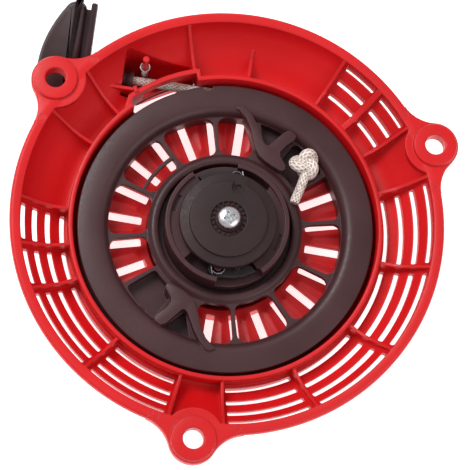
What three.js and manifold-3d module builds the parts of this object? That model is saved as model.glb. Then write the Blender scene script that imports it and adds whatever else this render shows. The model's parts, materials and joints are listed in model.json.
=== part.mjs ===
// Recoil starter for a small vertical-shaft engine, in millimetres, +Z up.
// The origin is on the reel's axis, at the flat outer face of the case's centre cap.
// +Z points at the engine, so the open side faces up and the part lies on its cap.
import * as THREE from "three";
import { mergeVertices } from "three/addons/utils/BufferGeometryUtils.js";
import Module from "manifold-3d";

const wasm = await Module();
wasm.setup();

// ---------- driving dimensions ----------
const WALL = 2.2;
const FLANGE = { rOut: 92, rIn: 87.45, zTop: 44.5, zLow: 41.4 };
const EAR = { angles: [20.5, 140.5, 260.5], boltR: 95, endR: 10.3, holeR: 4.35, fillet: 16,
  zLow: 39.2, bossR: 9.4, bossTop: 46, bulgeR: 12.4, bulgeLowR: 11.4, bulgeZ: 32.5 };
const RING = { rIn: 65.3, rOut: 67.5, zTop: 33.1 };
const FLOOR = { zLow: 13.8, zTop: 16, rOut: 61 };
const CUP = { rIn: 33.2, rOut: 35.2, floor: 2.4, chamfer: 1.6 };
const POST = { r: 7, zTop: 37, screwR: 2.1, screwZ: 12 };
const VENT = { rows: [86.5, 81.6, 76.1, 70.0], half: [0.85, 1.0, 1.0, 0.95], endGap: 1.5 };
const RIB = { half: 0.65, crest: 31.8, kneeR: 75, kneeZ: 32.6 };
const BAY = 26.25;
const RADIAL = { count: 24, first: 5.75, r0: 35.9, r1: 60, half: 1.85, ridgeTop: 17.1, ridgeHalf: 0.55 };
const ROPE_R = 1.8;
const ROPE_Z = 23.5;
const DOOR = { from: 99.5, to: 126, r0: 69.2, r1: 71.2, top: 32.4 };
const PULL_AZ = 172;
const TROUGH = { half: 8.7, wall: 2.2, start: 22, end: 53 };
const EXIT = { mouth: 48.4, wallEnd: 65.6, bossR: 7.9, bore: 3.9 };
const PEG = { x: -34.5, y: 70.9, r: 1.45, zLow: 15, zTop: 41.5, sleeveIn: 1.75, sleeveOut: 2.25 };
const REEL = { r: 63.5, drumIn: 50.3, drumOut: 52, zBack: 17.7, backTop: 19.4, frontLow: 27.6,
  top: 30, web: 26, webLow: 22.6, bore: 7.3, winR0: 33.3, winR1: 50.2 };
const HUB = { r: 26.5, wallIn: 24.4, top: 36.4, rim: 38, wellFloor: 30, wellR: 13 };
const PAWL = { pivotR: 20, pivotAz: 78, pinR: 2, bore: 2.3, bossR: 4, low: 30.3, top: 35.4, tipAz: 120, tipR: 24 };
const GUIDE = { r: 20.7, stepR: 16.5, low: 39, rim: 41.8, top: 43.4, bore: 2.6 };
const WIND = { r0: 52.3, r1: 58.9, z0: 19.7, z1: 27.3 };
const WRAP_R = 61;
const SPRING = { turns: 6, r0: 10.4, r1: 31.6, thick: 0.7, z0: 3, z1: 12.2 };
const GRIP = { start: 68.1, roll: -20, halfLength: 31, halfHeight: 7.8, depth: 22.3, endDepth: 11.2,
  flange: 2.5, groove: 2.2, shrink: 1.7 };

const MOULDED_RED = new THREE.MeshStandardMaterial({ color: 0xc8141c, roughness: 0.42, metalness: 0 });
const MOULDED_BLACK = new THREE.MeshStandardMaterial({ color: 0x3a2e2f, roughness: 0.5, metalness: 0 });
const GUIDE_BLACK = new THREE.MeshStandardMaterial({ color: 0x2d2526, roughness: 0.55, metalness: 0 });
const GRIP_BLACK = new THREE.MeshStandardMaterial({ color: 0x33292a, roughness: 0.45, metalness: 0 });
const STEEL = new THREE.MeshStandardMaterial({ color: 0xb9bbbd, roughness: 0.28, metalness: 1 });
const SPRING_STEEL = new THREE.MeshStandardMaterial({ color: 0x6b6d72, roughness: 0.35, metalness: 1 });
const ROPE = new THREE.MeshStandardMaterial({ color: 0xe9ddd0, roughness: 0.9, metalness: 0 });

// ---------- small tools ----------
const rad = (deg) => (deg * Math.PI) / 180;
const at = (r, deg) => [r * Math.cos(rad(deg)), r * Math.sin(rad(deg))];
const SMOOTH = 48;
const FEW = 16;
const MERGE = 0.03;

// A closed BufferGeometry as a solid with its faces out.
function solid(geometry) {
  const g = geometry.index ? geometry.toNonIndexed() : geometry.clone();
  g.deleteAttribute("normal");
  g.deleteAttribute("uv");
  const merged = mergeVertices(g, 1e-4);
  const faces = [];
  const index = merged.index.array;
  for (let i = 0; i < index.length; i += 3) {
    const [a, b, c] = [index[i], index[i + 1], index[i + 2]];
    if (a !== b && b !== c && c !== a) faces.push(a, b, c);
  }
  const vertProperties = merged.attributes.position.array;
  const make = (triVerts) => new wasm.Manifold(new wasm.Mesh({ numProp: 3, vertProperties, triVerts }));
  const first = make(new Uint32Array(faces));
  return first.volume() > 0 ? first : make(new Uint32Array(faces.reverse()));
}

// A profile of [radius, height] points turned round +Z.
function turned(profile, segments = SMOOTH) {
  const points = profile.map(([r, z]) => new THREE.Vector2(r, z));
  return solid(new THREE.LatheGeometry(points, segments).rotateX(Math.PI / 2));
}

// A profile that closes on itself, clear of the axis.
const ring = (profile, segments = SMOOTH) => turned([...profile, profile[0]], segments);

// The same turned profile with its axis along +X.
const turnedX = (profile, segments = FEW) => turned(profile, segments).rotate([0, 90, 0]);

function prism(shape, z0, z1, curveSegments = 12) {
  const made = new THREE.ExtrudeGeometry(shape, { depth: z1 - z0, bevelEnabled: false, curveSegments });
  return solid(made.translate(0, 0, z0));
}

const outline = (points) => new THREE.Shape(points.map(([x, y]) => new THREE.Vector2(x, y)));

function disc(x, y, r, z0, z1, segments = FEW, topR = r) {
  const made = new THREE.CylinderGeometry(topR, r, z1 - z0, segments).rotateX(Math.PI / 2);
  return solid(made.translate(x, y, (z0 + z1) / 2));
}

function sector(r0, r1, a0, a1, z0, z1, step = 4.4) {
  const shape = new THREE.Shape();
  shape.absarc(0, 0, r1, rad(a0), rad(a1), false);
  shape.absarc(0, 0, r0, rad(a1), rad(a0), true);
  shape.closePath();
  return prism(shape, z0, z1, Math.max(2, Math.ceil((a1 - a0) / step)));
}

// A straight wall of the given width between two points.
function bar([x0, y0], [x1, y1], width, z0, z1) {
  const length = Math.hypot(x1 - x0, y1 - y0);
  const made = new THREE.BoxGeometry(length, width, z1 - z0);
  made.rotateZ(Math.atan2(y1 - y0, x1 - x0));
  return solid(made.translate((x0 + x1) / 2, (y0 + y1) / 2, (z0 + z1) / 2));
}

// A radial wall whose side view is a list of [radius, height] points.
function fin(profile, deg, half) {
  const made = new THREE.ExtrudeGeometry(outline(profile), { depth: 2 * half, bevelEnabled: false });
  made.translate(0, 0, -half).rotateX(Math.PI / 2).rotateZ(rad(deg));
  return solid(made);
}

function tube(points, r, steps, sides = 8) {
  const path = new THREE.CatmullRomCurve3(points.map((p) => new THREE.Vector3(...p)));
  const section = new THREE.Shape().absarc(0, 0, r, 0, 2 * Math.PI, false);
  const options = { steps, bevelEnabled: false, extrudePath: path, curveSegments: sides };
  return solid(new THREE.ExtrudeGeometry(section, options));
}

// Places a piece made along +X from the rope's tangent point onto the line of the rope.
const onRope = (made) => made.translate([0, -WRAP_R, ROPE_Z]).rotate([0, 0, PULL_AZ]);

const join = (pieces) => pieces.reduce((a, b) => a.add(b));
const cut = (body, pieces) => pieces.reduce((a, b) => a.subtract(b), body);
const turnCopies = (piece, angles) => angles.map((deg) => piece.rotate([0, 0, deg]));

// ---------- case ----------
const OUTSIDE = [[0, 0], [CUP.rOut - CUP.chamfer, 0], [CUP.rOut, CUP.chamfer], [CUP.rOut, 12.4],
  [CUP.rOut + 2, FLOOR.zLow], [FLOOR.rOut, FLOOR.zLow], [66.4, 15], [69.3, 17.6], [71.6, 21.2],
  [78, 25.4], [83.8, 31.8], [89.6, 39.6], [FLANGE.rOut - 0.8, FLANGE.zLow - 0.8],
  [FLANGE.rOut, FLANGE.zLow], [FLANGE.rOut, FLANGE.zTop - 0.9], [FLANGE.rOut - 0.9, FLANGE.zTop]];
const INSIDE = [[FLANGE.rIn + 0.4, FLANGE.zTop], [FLANGE.rIn, FLANGE.zTop - 0.5], [86.8, 41.2], [81.6, 34],
  [76.1, 28], [71.5, 25], [RING.rOut, 24], [RING.rOut, RING.zTop - 0.7], [RING.rOut - 0.6, RING.zTop],
  [RING.rIn + 0.6, RING.zTop], [RING.rIn, RING.zTop - 0.7], [RING.rIn, 17.6], [63.4, FLOOR.zTop],
  [CUP.rIn, FLOOR.zTop], [CUP.rIn, CUP.floor], [POST.r, CUP.floor], [POST.r, POST.zTop],
  [POST.screwR, POST.zTop], [POST.screwR, POST.screwZ], [0, POST.screwZ]];

function earPlan() {
  const { boltR, endR, fillet } = EAR;
  const far = FLANGE.rOut + fillet;
  const near = endR + fillet;
  const x = (far ** 2 - near ** 2 + boltR ** 2) / (2 * boltR);
  const y = Math.sqrt(far ** 2 - x ** 2);
  const start = Math.atan2(y, x);
  const turn = Math.atan2(y, x - boltR);
  const shape = new THREE.Shape();
  const inner = FLANGE.rIn + 1.5;
  shape.absarc(0, 0, inner, start, -start, true);
  shape.absarc(x, -y, fillet, Math.PI - start, Math.PI - turn, true);
  shape.absarc(boltR, 0, endR, -turn, turn, false);
  shape.absarc(x, y, fillet, Math.PI + turn, Math.PI + start, true);
  return shape;
}

function ears(bowl) {
  const plate = prism(earPlan(), EAR.zLow, FLANGE.zTop, 9);
  const boss = disc(EAR.boltR, 0, EAR.bossR, EAR.zLow, EAR.bossTop - 0.5, 28);
  const seat = disc(EAR.boltR, 0, EAR.bossR, EAR.bossTop - 0.6, EAR.bossTop, 28, EAR.bossR - 0.5);
  const bulge = disc(EAR.boltR, 0, EAR.bulgeLowR, EAR.bulgeZ, FLANGE.zTop, 28, EAR.bulgeR);
  const one = join([plate, boss, seat, bulge.intersect(bowl)]);
  const hole = disc(EAR.boltR, 0, EAR.holeR, EAR.bulgeZ - 1, EAR.bossTop + 1, 24);
  return cut(one, [hole]);
}

// The bays between the ribs, as [from, to, rows of vents].
function ventBays() {
  const bays = [[28, 41, 3], [41, 54.25, 3], [174.25, 187.4, 4], [187.4, 200.5, 4]];
  for (const start of [200.5, 226.75, 268, 268 + BAY, 268 + 2 * BAY, 268 + 3 * BAY]) {
    bays.push([start, start + BAY, 4]);
  }
  return bays;
}

function vents() {
  const cuts = [];
  for (const [from, to, rows] of ventBays()) {
    for (let row = 0; row < rows; row++) {
      const r = VENT.rows[row];
      const half = VENT.half[row];
      cuts.push(sector(r - half, r + half, from + VENT.endGap, to - VENT.endGap, 15, 46, 12));
    }
  }
  return cuts;
}

function ribs(bowl) {
  const tall = [[RING.rOut - 0.5, 15], [90, 15], [90, FLANGE.zTop - 0.6], [FLANGE.rIn - 0.4, FLANGE.zTop - 1],
    [RIB.kneeR, RIB.kneeZ], [RING.rOut - 0.5, RIB.crest]];
  const low = [[RING.rOut - 0.5, 15], [80, 15], [80, 33], [76, 29.6], [RING.rOut - 0.5, RIB.crest]];
  const angles = [13, 28, 54.25, 100.6, 133, 148, 174.25, 187.4, 200.5, 226.75, 253];
  for (let bay = 0; bay < 4; bay++) angles.push(268 + bay * BAY);
  const made = angles.map((deg) => fin(tall, deg, RIB.half));
  made.push(fin(tall, 41, 2 * RIB.half), fin(low, 81, RIB.half));
  return join(made).intersect(bowl);
}

// The trough that leads the rope out past the ring wall, and the boss for the guide bush.
function ropeExit() {
  const { half, wall, start, end } = TROUGH;
  const channel = (r, s0, s1, high) => {
    const round = turnedX([[0, s0], [r, s0], [r, s1], [0, s1]], 28);
    const upright = new THREE.BoxGeometry(s1 - s0, 2 * r, high).translate((s0 + s1) / 2, 0, high / 2);
    return onRope(round.add(solid(upright)));
  };
  const inner = disc(0, 0, DOOR.r1, 0, 60, SMOOTH);
  const air = ring([[RING.rOut, 60], [RING.rOut, 23], [71.5, 24], [76.1, 27], [81.6, 33], [86.8, 40.2],
    [FLANGE.rIn, FLANGE.zTop - 1], [FLANGE.rIn, 60]]);
  const inRing = disc(0, 0, RING.rOut - 0.5, 0, 60, SMOOTH);
  const shell = cut(channel(half + wall, start, end + wall, FLANGE.zLow - ROPE_Z), [inRing, air]);
  const outer = turnedX([[0, end], [EXIT.bossR, end], [EXIT.bossR, EXIT.wallEnd - 1],
    [EXIT.bossR - 1, EXIT.wallEnd], [0, EXIT.wallEnd]], 28);
  const bore = turnedX([[0, end - 4], [EXIT.bore, end - 4], [EXIT.bore, EXIT.wallEnd + 1], [0, EXIT.wallEnd + 1]], 20);
  const mouth = disc(0, 0, FLANGE.rIn - 0.8, 0, 60, SMOOTH);
  const hollow = channel(half, start + wall, end, 2 * FLANGE.zTop).intersect(mouth).subtract(inner);
  return { add: shell.add(onRope(outer)), take: [hollow, onRope(bore)] };
}

// Near the rope the ring wall steps outwards, with a doorway under its crest.
function doorway() {
  const wall = sector(DOOR.r0, DOOR.r1, DOOR.from, DOOR.to, 17, DOOR.top);
  const ends = [bar(at(RING.rIn + 0.4, DOOR.from), at(DOOR.r1 - 0.3, DOOR.from), 1.6, 17, DOOR.top),
    bar(at(RING.rIn + 1, DOOR.to + 4), at(DOOR.r1 - 0.8, DOOR.to - 0.6), 2, 17, DOOR.top)];
  const tip = bar(at(DOOR.r1 - 1, DOOR.to - 3), [-39.2, 61.4], 1.6, 17, DOOR.top + 1);
  const web = bar([-38.8, 60.6], [-49.6, 62.2], 1.3, 20, DOOR.top - 1);
  const peg = disc(PEG.x, PEG.y, PEG.r, PEG.zLow, PEG.zTop, 12);
  const stepped = sector(RING.rIn - 1.5, DOOR.r0, DOOR.from + 0.6, DOOR.to + 1, 17.6, 46);
  const door = sector(DOOR.r0 - 1, DOOR.r1 + 0.6, 106.5, 120.5, ROPE_Z - 3.4, ROPE_Z + 3.6);
  const slot = sector(66.2, 68.8, 107, DOOR.to - 0.6, 10, 30);
  const relief = onRope(turnedX([[0, 8], [2.3, 8], [2.3, 40], [0, 40]]));
  return { add: [wall, ...ends, tip, web, peg], takeFirst: stepped, takeLast: [door, slot, relief] };
}

function radialSlots() {
  const pitch = 360 / RADIAL.count;
  const angles = Array.from({ length: RADIAL.count }, (_, i) => RADIAL.first + i * pitch);
  const slot = bar([RADIAL.r0, 0], [RADIAL.r1, 0], 2 * RADIAL.half, 10, 20);
  const ridge = bar([RADIAL.r0 + 2, 0], [RADIAL.r1, 0], 2 * RADIAL.ridgeHalf, 15, RADIAL.ridgeTop);
  const ridges = turnCopies(ridge.rotate([0, 0, pitch / 2]), angles);
  return { slots: turnCopies(slot, angles), ridges };
}

function caseShell() {
  const bowl = turned([...OUTSIDE, [0, FLANGE.zTop]]);
  const shell = turned([...OUTSIDE, ...INSIDE]);
  const exit = ropeExit();
  const door = doorway();
  const radial = radialSlots();
  let body = join([shell, ribs(bowl), ...radial.ridges]);
  body = cut(body, [...vents(), ...radial.slots]);
  body = body.add(exit.add);
  body = cut(body, [...exit.take, door.takeFirst]);
  body = join([body, ...door.add]);
  body = cut(body, door.takeLast);
  const inBowl = turned([[0, CUP.floor], [60, CUP.floor], [60, 60], [0, 60]], 8);
  const hook = disc(SPRING.r1 - 0.4, 2.2, 1.1, CUP.floor - 1, SPRING.z1, 10).intersect(inBowl);
  const earSolid = ears(bowl);
  const holes = turnCopies(disc(EAR.boltR, 0, EAR.holeR, 20, 60, 24), EAR.angles);
  body = join([body, hook, ...turnCopies(earSolid, EAR.angles)]);
  return cut(body, holes);
}

// ---------- rope guide, screw and springs ----------
function guideBush() {
  const { mouth, wallEnd } = EXIT;
  const profile = [[2.3, mouth + 2.4], [4, mouth + 0.2], [4.7, mouth], [4.8, mouth + 0.8], [3.6, mouth + 3.4],
    [3.6, wallEnd + 0.3], [6.3, wallEnd + 0.3], [6.3, wallEnd + 1.3], [5.6, wallEnd + 2], [3.4, wallEnd + 2],
    [2.3, wallEnd + 1]];
  return onRope(ring(profile, FEW).rotate([0, 90, 0]));
}

function guideSleeve() {
  const { sleeveIn, sleeveOut } = PEG;
  const profile = [[sleeveIn, 18.3], [sleeveOut, 18.3], [sleeveOut, 31], [sleeveIn, 31]];
  return ring(profile, FEW).translate([PEG.x, PEG.y, 0]);
}

function settingScrew() {
  const seat = GUIDE.top + 0.3;
  const body = turned([[0, 14.5], [1.3, 15], [1.8, 16.2], [1.8, seat], [5, seat], [5, seat + 1.5],
    [4.3, seat + 2.6], [2.8, seat + 3.3], [0, seat + 3.5]], 20);
  const arm = new THREE.BoxGeometry(4.8, 1.1, 2.4).translate(0, 0, seat + 3.1);
  const cross = solid(arm).add(solid(arm.clone().rotateZ(Math.PI / 2)));
  return body.subtract(cross.rotate([0, 0, 20]));
}

// A flat strip wound in a spiral, with a loop of wider pitch at its outer end.
function recoilSpring() {
  const { turns, r0, r1, thick, z0, z1 } = SPRING;
  const steps = turns * 16;
  const edge = (offset) => Array.from({ length: steps + 1 }, (_, i) => {
    const share = i / steps;
    const r = r0 + (r1 - 1.4 - r0) * share + offset;
    return at(r, 20 + 360 * turns * share);
  });
  return prism(outline([...edge(thick / 2), ...edge(-thick / 2).reverse()]), z0, z1);
}

function wireCoil(r, wire, turns, z0, z1, legs = []) {
  const steps = turns * 11;
  const points = Array.from({ length: steps + 1 }, (_, i) => {
    const share = i / steps;
    const [x, y] = at(r, 360 * turns * share);
    return [x, y, z0 + (z1 - z0) * share];
  });
  const all = [...(legs[0] ? [legs[0]] : []), ...points, ...(legs[1] ? [legs[1]] : [])];
  return tube(all, wire, steps, 4);
}

// ---------- reel ----------
const REEL_PROFILE = [[REEL.bore, 3.1], [9.4, 3.1], [9.4, 18.4], [27.6, 18.4], [29.6, 20.6], [32, REEL.webLow],
  [REEL.drumIn, REEL.webLow], [REEL.drumIn, REEL.zBack], [REEL.r, REEL.zBack], [REEL.r, REEL.backTop],
  [REEL.drumOut, REEL.backTop], [REEL.drumOut, REEL.frontLow], [REEL.r, REEL.frontLow],
  [REEL.r, REEL.top - 0.5], [REEL.r - 0.5, REEL.top], [54, REEL.top], [52.2, 29.4], [51, 28],
  [REEL.drumIn, REEL.web], [33.4, REEL.web], [31.2, 27.4], [29.4, 27.4], [28.6, 26.4], [28.6, 21.6],
  [HUB.r, 21.6], [HUB.r, HUB.rim], [HUB.wallIn, HUB.rim], [HUB.wallIn, HUB.top], [9.8, HUB.top],
  [9.8, 34], [REEL.bore, 34]];

// The twelve places between spokes; the two at 45 and 225 degrees are closed pockets.
function reelWindows() {
  const cuts = [];
  const { winR0, winR1 } = REEL;
  for (let place = 0; place < 12; place++) {
    const middle = 19.5 + 30 * place;
    const isPocket = place === 1 || place === 7;
    if (isPocket) continue;
    const early = place === 2 || place === 8 ? 5.5 : 0;
    const half = 12.9;
    const low = sector(winR0 + 2, winR1, middle - half + early, middle + half, 15, 40, 7);
    const lower = sector(winR0, winR0 + 3, middle - half + 4 + early, middle + half - 4, 15, 40, 7);
    cuts.push(low, lower);
  }
  return cuts;
}

// One pocket group: two deep wells with the walls that cross between the rim and the hub.
function pocketGroup() {
  const fill = sector(REEL.winR0 - 0.6, REEL.drumIn + 0.6, 28, 66, REEL.zBack + 0.6, REEL.web);
  const node = at(36.5, 58.4);
  const inDrum = disc(0, 0, REEL.drumIn + 0.8, 0, 60, SMOOTH);
  const longArm = bar(at(33.6, 49.5), at(53.4, 83.4), 2.3, 20, REEL.top + 1).intersect(inDrum);
  const overRim = bar(at(40, 58), at(53.4, 83.4), 2.3, REEL.frontLow + 0.4, REEL.top + 1);
  const outArm = bar(node, at(50.6, 54.6), 3.6, 20, REEL.top + 0.2).intersect(inDrum);
  const inArm = bar(at(30.6, 60), node, 3.4, REEL.webLow, REEL.web + 1.6);
  const knotWell = sector(35, 49.6, 31.2, 51.4, 20.2, 40, 7);
  const backWell = prism(outline([at(39.4, 61.4), at(49.4, 58.6), at(49.4, 72), at(46.8, 74.2)]), 20.2, 40);
  const ropeHole = disc(0, 0, 2.1, 47, 54, 12).rotate([0, 90, 45]).translate([0, 0, ROPE_Z + 0.6]);
  return { add: [longArm, overRim, outArm, inArm], fill, take: [knotWell, backWell, ropeHole] };
}

function pawlWell() {
  const { wellFloor, wellR, wallIn } = HUB;
  const well = sector(wellR, wallIn, 40, 122, wellFloor, 50, 7);
  const gate = sector(wallIn - 1, HUB.r + 1, 79, 124, wellFloor, 50, 7);
  const blockSlot = sector(22.2, wallIn - 0.6, 149, 168, HUB.top - 1.2, 50, 7);
  return [well, gate, blockSlot];
}

function reelSolid() {
  let body = ring(REEL_PROFILE, SMOOTH);
  const group = pocketGroup();
  const halves = [0, 180];
  body = cut(body, reelWindows());
  body = join([body, ...turnCopies(group.fill, halves)]);
  body = cut(body, group.take.flatMap((piece) => turnCopies(piece, halves)));
  body = join([body, ...group.add.flatMap((piece) => turnCopies(piece, halves))]);
  body = cut(body, pawlWell().flatMap((piece) => turnCopies(piece, halves)));
  const [px, py] = at(PAWL.pivotR, PAWL.pivotAz);
  const pin = disc(px, py, PAWL.pinR, HUB.wellFloor - 1, 38, 14);
  const bridge = sector(38.2, 39.6, 125.6, 153.4, 23, REEL.web, 7);
  const notch = disc(...at(63.6, 96), 1.7, 20, 40, 10);
  const throat = disc(0, 0, REEL.drumOut - 0.05, REEL.zBack, REEL.top, 8);
  body = join([body, bridge, ...turnCopies(pin, halves)]);
  return cut(body, [notch.subtract(throat)]);
}

// ---------- pawls and ratchet guide ----------
// A pawl with its pivot at the origin of the reel's frame, at PAWL.pivotAz.
function pawlSolid() {
  const { pivotR, pivotAz, bossR, low, top, tipAz, tipR, bore } = PAWL;
  const [px, py] = at(pivotR, pivotAz);
  const boss = disc(px, py, bossR, low, top, 20);
  const arm = outline([at(19.2, pivotAz + 2), at(18.4, 96), at(18.8, 108), at(21.2, tipAz - 1.5), at(tipR, tipAz),
    at(tipR, 108), at(23.9, 96), at(23.6, pivotAz + 4)]);
  const hole = disc(px, py, bore, low - 1, top + 1, 16);
  const peg = disc(...at(20.3, 101), 1.2, top - 0.5, GUIDE.low - 0.6, 10);
  return join([boss, prism(arm, low, top), peg]).subtract(hole);
}

function guideSolid() {
  const { r, stepR, low, rim, top, bore } = GUIDE;
  const body = ring([[bore, 37.3], [7.4, 37.3], [7.4, 38], [10.4, 38], [10.4, low], [r, low], [r, rim - 0.4],
    [r - 0.4, rim], [stepR + 0.2, rim], [stepR, top - 0.3], [stepR - 0.4, top], [7.6, top],
    [7.2, 42.2], [5.8, 42.2], [5.6, top], [bore, top]], 36);
  const notch = disc(...at(14.6, 72), 3, rim, top + 1, 18);
  const hollow = disc(...at(14.6, 72), 1.5, rim - 0.9, top + 1, 14);
  const lug = sector(13.4, 15.4, 84, 100, 33, low + 0.5, 8);
  return cut(body, [notch, hollow]).add(lug).add(lug.rotate([0, 0, 180]));
}

// ---------- rope ----------
function ropeRun() {
  const steps = [0, 16, 32, EXIT.mouth, 56, EXIT.wallEnd, GRIP.start + 11.8];
  return onRope(tube(steps.map((s) => [s, 0, 0]), ROPE_R, 10, 8));
}

function ellipsoid([rx, ry, rz], [x, y, z], deg = 0) {
  const ball = new THREE.SphereGeometry(1, 14, 10).scale(rx, ry, rz).rotateZ(rad(deg));
  return solid(ball.translate(x, y, z));
}

// ---------- grip ----------
// The T-shaped grip in its own frame: x along the rope away from the case, y along the bar.
function gripSolid() {
  const { halfLength, halfHeight, depth, endDepth, flange, groove, shrink } = GRIP;
  const layer = (x0, x1, inset, bevel) => {
    const end = halfLength - inset;
    const bulge = (y) => depth - inset - (depth - endDepth) * (y / halfLength) ** 2;
    const shape = new THREE.Shape();
    shape.moveTo(x0, -end + 1.2);
    shape.lineTo(x0 + 0.8, -end);
    const ys = [-1, -0.8, -0.6, -0.4, -0.2, 0, 0.2, 0.4, 0.6, 0.8, 1];
    for (const share of ys) shape.lineTo(Math.min(x1, bulge(share * end)), share * end);
    shape.lineTo(x0 + 0.8, end);
    shape.lineTo(x0, end - 1.2);
    const high = halfHeight - inset;
    const made = new THREE.ExtrudeGeometry(shape, { depth: 2 * (high - bevel), bevelEnabled: true,
      bevelSize: bevel, bevelThickness: bevel, bevelOffset: -bevel, bevelSegments: 2 });
    return solid(made.translate(0, 0, -(high - bevel)));
  };
  const cavity = turnedX([[0, 12], [4.6, 12], [5.2, depth + 1], [0, depth + 1]], 20);
  const bore = turnedX([[0, -1], [2.3, -1], [2.3, 13], [0, 13]], 16);
  const bars = [layer(0, flange, 0, 0.5), layer(0.6, 9, shrink, 0.5), layer(flange + groove, depth, 0, 1.4)];
  return cut(join(bars), [cavity, bore]);
}

// ---------- assembly ----------
const group = new THREE.Group();

function addMesh(parent, name, made, material) {
  const data = made.asOriginal().simplify(MERGE).getMesh();
  const geometry = new THREE.BufferGeometry();
  const positions = new Float32Array(data.numVert * 3);
  for (let i = 0; i < data.numVert; i++) {
    positions.set(data.vertProperties.subarray(i * data.numProp, i * data.numProp + 3), i * 3);
  }
  geometry.setAttribute("position", new THREE.BufferAttribute(positions, 3));
  geometry.setIndex(new THREE.BufferAttribute(new Uint32Array(data.triVerts), 1));
  geometry.computeVertexNormals();
  const mesh = new THREE.Mesh(geometry, material);
  mesh.name = name;
  parent.add(mesh);
  return mesh;
}

addMesh(group, "case_shell", caseShell(), MOULDED_RED);
addMesh(group, "rope_guide_bush", guideBush(), MOULDED_BLACK);
addMesh(group, "guide_sleeve", guideSleeve(), STEEL);
addMesh(group, "setting_screw", settingScrew(), STEEL);
addMesh(group, "recoil_spring", recoilSpring(), SPRING_STEEL);

addMesh(group, "reel", reelSolid(), MOULDED_BLACK);
addMesh(group, "ratchet_guide", guideSolid(), GUIDE_BLACK);
addMesh(group, "friction_spring", wireCoil(8.7, 0.4, 2, 35, 37.1), SPRING_STEEL);

for (const [name, turn] of [["a", 0], ["b", 180]]) {
  const side = new THREE.Group();
  side.rotation.z = rad(turn);
  addMesh(side, "pawl_" + name, pawlSolid(), GUIDE_BLACK);
  const [px, py] = at(PAWL.pivotR, PAWL.pivotAz);
  const legs = [[3, -4, 36.2], [2.5, 2.9, 37.5]];
  const spring = addMesh(side, "pawl_spring_" + name, wireCoil(2.9, 0.35, 2, 36.2, 37.6, legs), SPRING_STEEL);
  spring.position.set(px, py, 0);
  group.add(side);
}

const winding = ring([[WIND.r0, WIND.z0], [WIND.r1, WIND.z0], [WIND.r1, WIND.z1], [WIND.r0, WIND.z1]], 72);
addMesh(group, "rope_winding", winding, ROPE);
addMesh(group, "rope_knot", ellipsoid([5.6, 5.8, 4.6], [...at(42.8, 41.2), 30.2], 41), ROPE);
addMesh(group, "rope_tail", tube([[33.6, 20.9, 30.4], [32.4, 18.4, 30.2], [30.6, 14.8, 29.6], [29, 11.6, 29.2]],
  ROPE_R, 8), ROPE);
addMesh(group, "rope_run", ropeRun(), ROPE);

const grip = gripSolid().rotate([GRIP.roll, 0, 0]).translate([GRIP.start, 0, 0]);
addMesh(group, "grip", onRope(grip), GRIP_BLACK);
addMesh(group, "grip_knot", onRope(ellipsoid([2.8, 3.9, 3.9], [GRIP.start + 15, 0, 0])), ROPE);

export default group;
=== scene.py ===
"""Recoil starter: the looks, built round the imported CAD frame. Shapes are made in mm and placed in metres."""

import json
import math

import bmesh
import bpy
from mathutils import Matrix, Vector


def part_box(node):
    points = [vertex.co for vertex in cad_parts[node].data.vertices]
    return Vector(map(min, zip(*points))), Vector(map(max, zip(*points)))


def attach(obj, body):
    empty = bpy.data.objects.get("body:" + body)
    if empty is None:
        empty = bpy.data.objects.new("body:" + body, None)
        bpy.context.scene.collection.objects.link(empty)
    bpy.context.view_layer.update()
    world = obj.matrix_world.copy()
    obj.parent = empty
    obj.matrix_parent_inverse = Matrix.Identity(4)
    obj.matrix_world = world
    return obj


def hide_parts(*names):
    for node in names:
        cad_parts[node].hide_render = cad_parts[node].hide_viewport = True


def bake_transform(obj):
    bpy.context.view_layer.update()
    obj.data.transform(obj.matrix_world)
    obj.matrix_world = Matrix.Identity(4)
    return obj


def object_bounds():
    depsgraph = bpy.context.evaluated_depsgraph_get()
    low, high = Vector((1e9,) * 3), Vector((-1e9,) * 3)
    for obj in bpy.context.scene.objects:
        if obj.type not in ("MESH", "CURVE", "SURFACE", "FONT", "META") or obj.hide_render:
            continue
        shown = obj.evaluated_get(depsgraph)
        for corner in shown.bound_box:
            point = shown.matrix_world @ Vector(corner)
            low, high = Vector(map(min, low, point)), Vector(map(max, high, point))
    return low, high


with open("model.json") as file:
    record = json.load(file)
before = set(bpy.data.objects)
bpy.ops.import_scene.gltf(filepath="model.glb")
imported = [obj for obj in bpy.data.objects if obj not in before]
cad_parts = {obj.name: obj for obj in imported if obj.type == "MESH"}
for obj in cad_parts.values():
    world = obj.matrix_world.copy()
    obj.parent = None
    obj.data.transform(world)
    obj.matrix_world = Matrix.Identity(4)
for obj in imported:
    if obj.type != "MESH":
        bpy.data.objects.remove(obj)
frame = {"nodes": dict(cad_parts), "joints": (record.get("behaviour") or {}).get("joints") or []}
cad_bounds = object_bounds()
MM = 0.001
TAU = 2 * math.pi

# ---------- driving sizes, from the frame ----------
def corner_mm(node, side):
    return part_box(node)[side] / MM


CASE_HIGH = corner_mm("case_shell", 1)
REEL_R = corner_mm("reel", 1).x
REEL_LOW = corner_mm("reel", 0).z
JOINTS = {j["name"]: j for j in frame["joints"]}
PULL = Vector(JOINTS["handle_pull"]["axis"])
PULL_AZ = math.degrees(math.atan2(PULL.y, PULL.x))

# The angles of a detail that is there twice, on opposite sides.
BOTH_SIDES = (0, 180)

# The flange and its three bolt ears.
FLANGE_R, FLANGE_IN, FLANGE_TOP = CASE_HIGH.y, 87.45, 44.5
EAR_AZ = (20.5, 140.5, 260.5)
BOLT_R, EAR_R, HOLE_R, EAR_FILLET = 95.0, 10.3, 4.35, 16.0
EAR_LOW, EAR_TOP = 39.2, CASE_HIGH.z

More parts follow.
